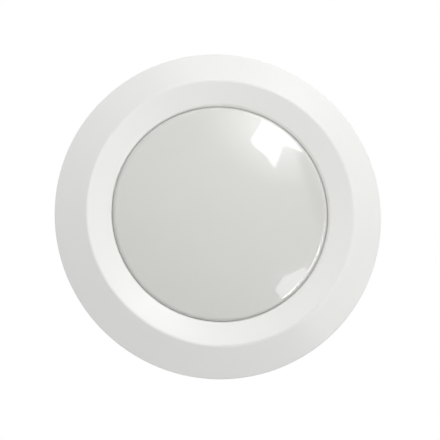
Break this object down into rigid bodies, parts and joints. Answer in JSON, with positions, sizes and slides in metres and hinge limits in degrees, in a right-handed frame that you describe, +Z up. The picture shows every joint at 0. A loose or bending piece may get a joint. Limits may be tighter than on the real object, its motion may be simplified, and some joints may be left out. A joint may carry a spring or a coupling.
{
  "type": "recessed soffit downlight",
  "caption": "Round white recessed downlight with a bevelled trim, a domed opal lens, finned heat sink, gear box with cable gland and sprung side clips.",
  "frame": {"origin": "centre of the soffit seal's upper face, where the trim meets the soffit", "axes": "+Z up into the soffit, square to it; light leaves towards -Z; clips at +X and -X; the supply cable enters from -Y"},
  "size_m": [0.19, 0.19, 0.0899],
  "materials": {
    "white_paint": "satin powder coat",
    "opal_lens": "glossy opal polycarbonate",
    "silicone": "translucent silicone",
    "red_silicone": "matt silicone",
    "reflector_sheet": "white diffuse sheet",
    "white_board": "white solder resist on aluminium",
    "light_source": "yellow phosphor over a white frame",
    "ivory_plastic": "moulded nylon",
    "zinc_steel": "zinc plated",
    "spring_steel": "bright spring steel",
    "thermal_pad": "soft filled silicone",
    "cast_aluminium": "as cast, lightly blasted",
    "foam_seal": "closed-cell foam",
    "black_rubber": "moulded rubber",
    "box_plastic": "fine texture moulding",
    "black_nylon": "moulded nylon",
    "green_board": "solder resist",
    "ferrite": "sintered",
    "yellow_tape": "polyester tape",
    "capacitor_sleeve": "shrunk sleeve",
    "copper_winding": "enamelled wire",
    "fuse_body": "ceramic",
    "varistor_coat": "dipped epoxy",
    "black_epoxy": "moulded epoxy",
    "block_plastic": "moulded nylon",
    "clamp_metal": "tinned copper alloy",
    "brown_plastic": "moulded",
    "blue_plastic": "moulded",
    "green_plastic": "moulded",
    "red_plastic": "extruded",
    "black_plastic": "extruded",
    "tinned_copper": "tinned"
  },
  "bodies": {
    "housing": {"trim_ring": "white_paint", "soffit_seal": "foam_seal", "lens": "opal_lens", "lens_gasket": "silicone", "reflector": "reflector_sheet", "led_board": "white_board", "led_packages": "light_source", "led_connector": "ivory_plastic", "board_screws": "zinc_steel", "thermal_pad": "thermal_pad", "heat_sink": "cast_aluminium", "body_seal": "red_silicone", "trim_screws": "zinc_steel", "lead_grommet": "black_rubber", "gear_tray": "box_plastic", "tray_screws": "zinc_steel", "driver_board": "green_board", "gear_screws": "zinc_steel", "transformer_core": "ferrite", "transformer_winding": "yellow_tape", "bulk_capacitor": "capacitor_sleeve", "output_capacitor": "capacitor_sleeve", "mains_choke": "copper_winding", "input_fuse": "fuse_body", "surge_varistor": "varistor_coat", "bridge_rectifier": "black_epoxy", "controller_chip": "black_epoxy", "switching_transistor": "black_epoxy", "driver_cover": "box_plastic", "cover_screws": "zinc_steel", "terminal_block": "block_plastic", "terminal_clamps": "clamp_metal", "gland_body": "black_nylon", "gland_washer": "black_rubber", "gland_seal": "black_rubber", "gland_nut": "black_nylon", "gland_locknut": "black_nylon", "lead_live": "brown_plastic", "lead_neutral": "blue_plastic", "lead_earth": "green_plastic", "lead_positive": "red_plastic", "lead_negative": "black_plastic", "earth_lug": "tinned_copper", "earth_screw": "zinc_steel", "door_pin": "zinc_steel", "clip_bracket_right": "zinc_steel", "clip_bracket_left": "zinc_steel", "bracket_screws": "zinc_steel", "clip_pins": "zinc_steel", "clip_spring_right": "spring_steel", "clip_spring_left": "spring_steel"},
    "wiring_door": {"wiring_door": "box_plastic"},
    "button_live": {"release_button_live": "brown_plastic"},
    "button_neutral": {"release_button_neutral": "blue_plastic"},
    "button_earth": {"release_button_earth": "green_plastic"},
    "clip_right": {"clip_arm_right": "spring_steel", "clip_pad_right": "black_rubber"},
    "clip_left": {"clip_arm_left": "spring_steel", "clip_pad_left": "black_rubber"}
  },
  "joints": [
    {"name": "clip_right_pivot", "type": "hinge", "parent": "housing", "child": "clip_right", "pos_m": [0.0695, 0, 0.0295], "axis": [0, -1, 0], "range_deg": [0, 136], "stiffness_Nm_per_rad": 0.15, "springref_deg": -85.94, "deforming": ["clip_spring_right"]},
    {"name": "clip_left_pivot", "type": "hinge", "parent": "housing", "child": "clip_left", "pos_m": [-0.0695, 0, 0.0295], "axis": [0, 1, 0], "range_deg": [0, 136], "stiffness_Nm_per_rad": 0.15, "springref_deg": -85.94, "deforming": ["clip_spring_left"]},
    {"name": "wiring_door_hinge", "type": "hinge", "parent": "housing", "child": "wiring_door", "pos_m": [0, -0.016, 0.0667], "axis": [-1, 0, 0], "range_deg": [0, 110]},
    {"name": "live_button_travel", "type": "slide", "parent": "housing", "child": "button_live", "axis": [0, 0, -1], "range_m": [0, 0.0015], "stiffness_N_per_m": 25, "springref_m": -0.002},
    {"name": "neutral_button_travel", "type": "slide", "parent": "housing", "child": "button_neutral", "axis": [0, 0, -1], "range_m": [0, 0.0015], "stiffness_N_per_m": 25, "springref_m": -0.002},
    {"name": "earth_button_travel", "type": "slide", "parent": "housing", "child": "button_earth", "axis": [0, 0, -1], "range_m": [0, 0.0015], "stiffness_N_per_m": 25, "springref_m": -0.002}
  ]
}
